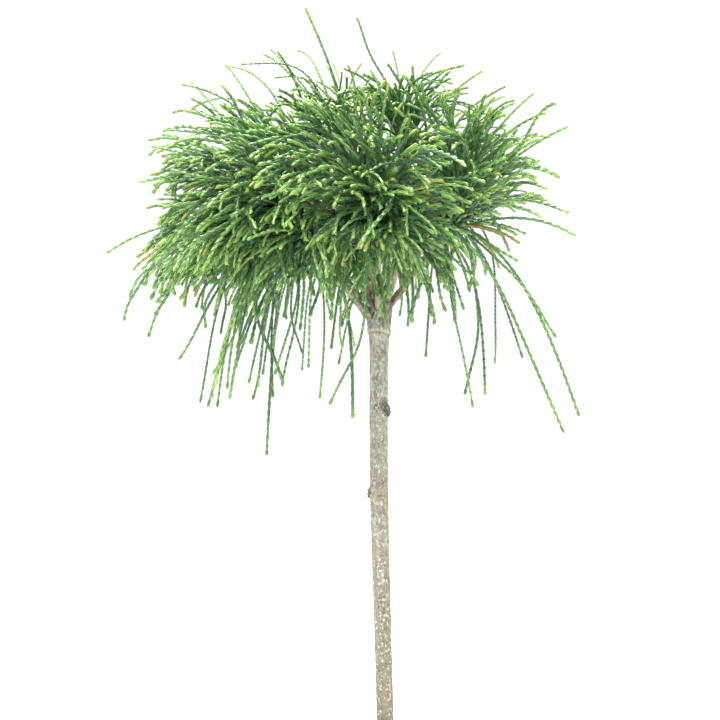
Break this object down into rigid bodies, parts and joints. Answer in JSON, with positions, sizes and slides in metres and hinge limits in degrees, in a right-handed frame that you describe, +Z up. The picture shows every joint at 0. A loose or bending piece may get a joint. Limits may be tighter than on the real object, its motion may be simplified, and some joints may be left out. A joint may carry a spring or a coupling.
{
  "type": "grafted standard arborvitae",
  "caption": "Small standard tree: a bare grafted stem with a root flare carries a rounded mop of arching and hanging cord-like evergreen foliage.",
  "frame": {"origin": "centre of the flat cut under the stem, at ground level", "axes": "+Z up the stem, +X to the right of the crown's front, -Y towards its front"},
  "size_m": [0.4722, 0.4001, 0.8895],
  "materials": {
    "stem_bark": "rough bark",
    "bough_bark": "rough bark",
    "foliage": "satin scale leaves"
  },
  "bodies": {
    "root": {"stem": "stem_bark", "leader_left": "bough_bark", "leader_right": "bough_bark", "bough_back_right": "bough_bark", "bough_back": "bough_bark", "bough_back_left": "bough_bark", "bough_front_left": "bough_bark", "bough_front": "bough_bark", "bough_front_right": "bough_bark", "foliage_back_right": "foliage", "foliage_back": "foliage", "foliage_back_left": "foliage", "foliage_front_left": "foliage", "foliage_front": "foliage", "foliage_front_right": "foliage", "top_foliage_left": "foliage", "top_foliage_right": "foliage"}
  },
  "joints": []
}
